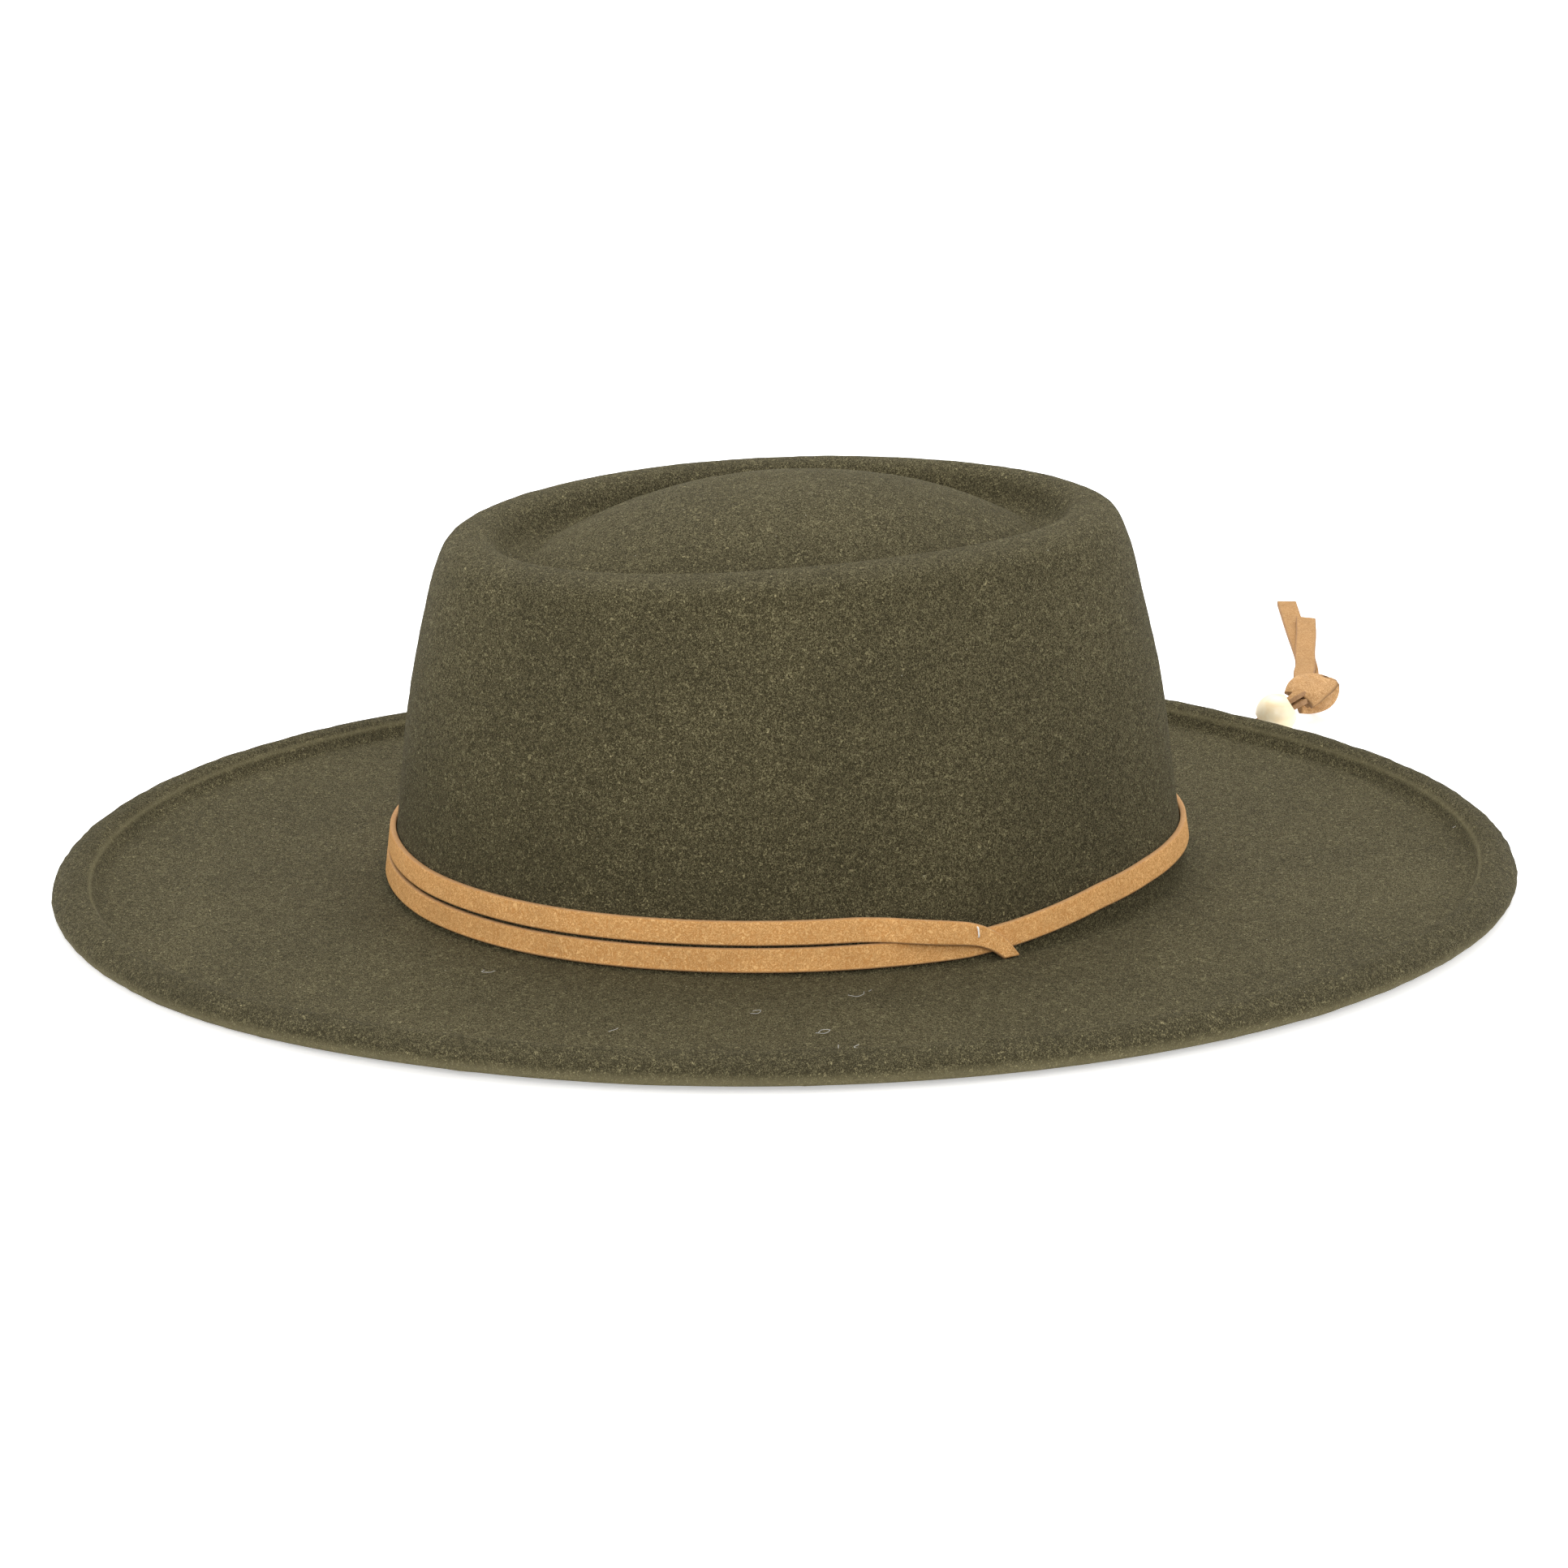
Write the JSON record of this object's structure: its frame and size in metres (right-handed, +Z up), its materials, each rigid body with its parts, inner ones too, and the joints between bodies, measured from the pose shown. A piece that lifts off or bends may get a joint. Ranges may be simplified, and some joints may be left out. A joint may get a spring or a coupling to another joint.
{
  "type": "felt hat with chin cord",
  "caption": "Wide flat-brimmed wool felt hat with a rolled rim, a telescope crown with a low dome, a wrapped suede lace band and a loose chin cord with bead and knot.",
  "frame": {"origin": "middle of the hat's footprint, on the surface that the brim rests on", "axes": "+X towards the wearer's left, +Y towards the back of the head, +Z up out of the crown"},
  "size_m": [0.3902, 0.4249, 0.1044],
  "materials": {
    "felt": "matte wool felt with a short fine nap",
    "lace": "matte suede lace with darker cut edges",
    "bead": "satin pale cream bead"
  },
  "bodies": {
    "root": {"felt_body": "felt", "band_lace": "lace", "chin_lace_left": "lace", "chin_lace_right": "lace", "tail_end_long": "lace", "tail_end_short": "lace", "slider_bead": "bead", "tail_knot": "lace"}
  },
  "joints": []
}
